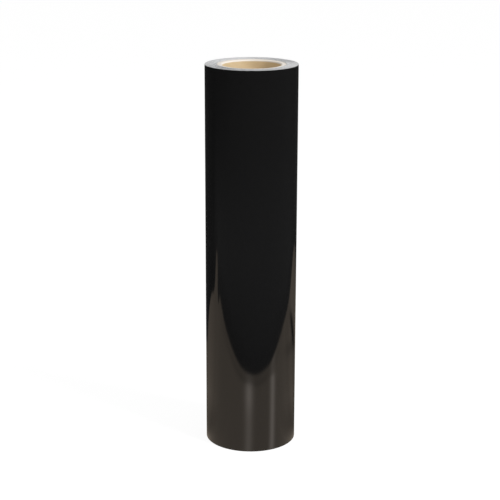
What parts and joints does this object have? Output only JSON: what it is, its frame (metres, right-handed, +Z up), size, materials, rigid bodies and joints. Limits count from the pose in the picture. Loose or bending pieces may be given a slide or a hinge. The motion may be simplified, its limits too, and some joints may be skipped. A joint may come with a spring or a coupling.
{
  "type": "roll of sign vinyl",
  "caption": "Roll of gloss black self-adhesive sign vinyl on a white release liner, wound film side out on an open paper core, with a free end held by tape.",
  "frame": {"origin": "on the roll's axis, in the plane of the edges it stands on", "axes": "+Z up along the roll's axis, +Y towards the side with the free end of the web"},
  "size_m": [0.1197, 0.1199, 0.508],
  "materials": {
    "core_lining": "matte",
    "core_board": "matte",
    "core_wrap": "matte",
    "start_tape": "satin",
    "liner": "satin",
    "vinyl": "gloss",
    "closing_tape": "satin"
  },
  "bodies": {
    "roll": {"core_inner_ply": "core_lining", "core_board": "core_board", "core_outer_ply": "core_wrap", "start_tape": "start_tape", "release_liner": "liner", "face_film": "vinyl", "outer_wrap": "vinyl"},
    "liner_end": {"liner_tail": "liner", "film_tail": "vinyl"},
    "film_end": {"film_flap": "vinyl"},
    "closing_tape": {"tail_tape": "closing_tape"}
  },
  "joints": [
    {"name": "tail_lift", "type": "hinge", "parent": "roll", "child": "liner_end", "pos_m": [-0.02697, 0.0537, 0.254], "axis": [0, 0, 1], "range_deg": [0, 75], "stiffness_Nm_per_rad": 0.002},
    {"name": "film_peel", "type": "hinge", "parent": "liner_end", "child": "film_end", "pos_m": [-0.01189, 0.0589, 0.254], "axis": [0, 0, 1], "range_deg": [0, 70]},
    {"name": "tape_peel", "type": "hinge", "parent": "film_end", "child": "closing_tape", "pos_m": [0.01, 0.05937, 0.254], "axis": [0, 0, 1], "range_deg": [0, 100]}
  ]
}
